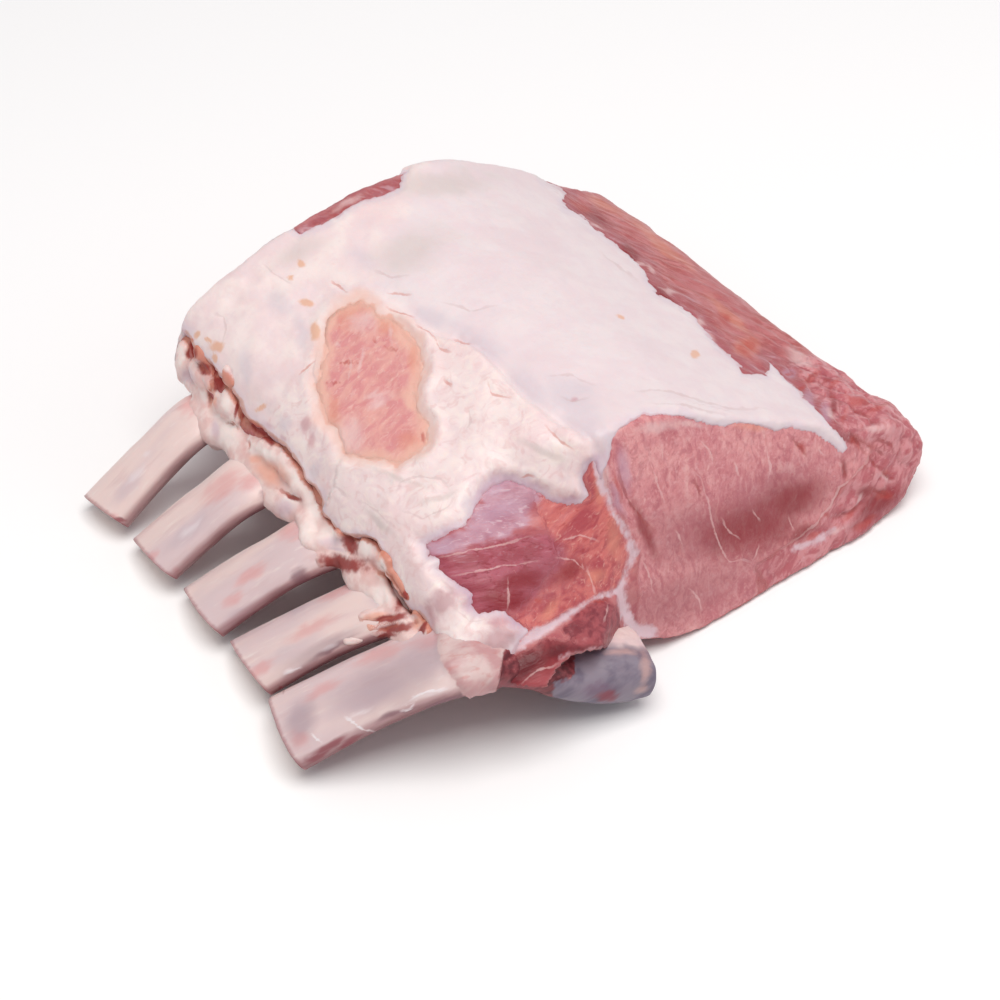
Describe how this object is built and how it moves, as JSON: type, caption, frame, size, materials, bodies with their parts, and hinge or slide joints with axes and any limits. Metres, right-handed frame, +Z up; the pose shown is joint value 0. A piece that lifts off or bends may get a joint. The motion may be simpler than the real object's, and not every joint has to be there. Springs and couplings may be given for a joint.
{
  "type": "pork rack",
  "caption": "Raw rack of pork: block of loin with a fat cap, resting on its flat underside and on cleaned, slanting rib bones.",
  "frame": {"origin": "middle of the footprint, on the surface the rack rests on", "axes": "-X the way the bare rib bones point, Y along the spine with the cut face that shows the loin eye towards -Y, +Z up"},
  "size_m": [0.238, 0.1914, 0.0807],
  "materials": {
    "lean": "moist raw muscle, pink-red, soft sheen",
    "fat": "moist raw fat, pinkish white, soft sheen",
    "rib_meat": "ragged trimmed rib meat and fat, moist",
    "bone": "scraped rib bone under thin membrane, pale pink, slightly glossy"
  },
  "bodies": {
    "root": {"lean": "lean", "fat_cap": "fat", "rib_flap": "rib_meat", "rib_1": "bone", "rib_2": "bone", "rib_3": "bone", "rib_4": "bone", "rib_5": "bone"}
  },
  "joints": []
}
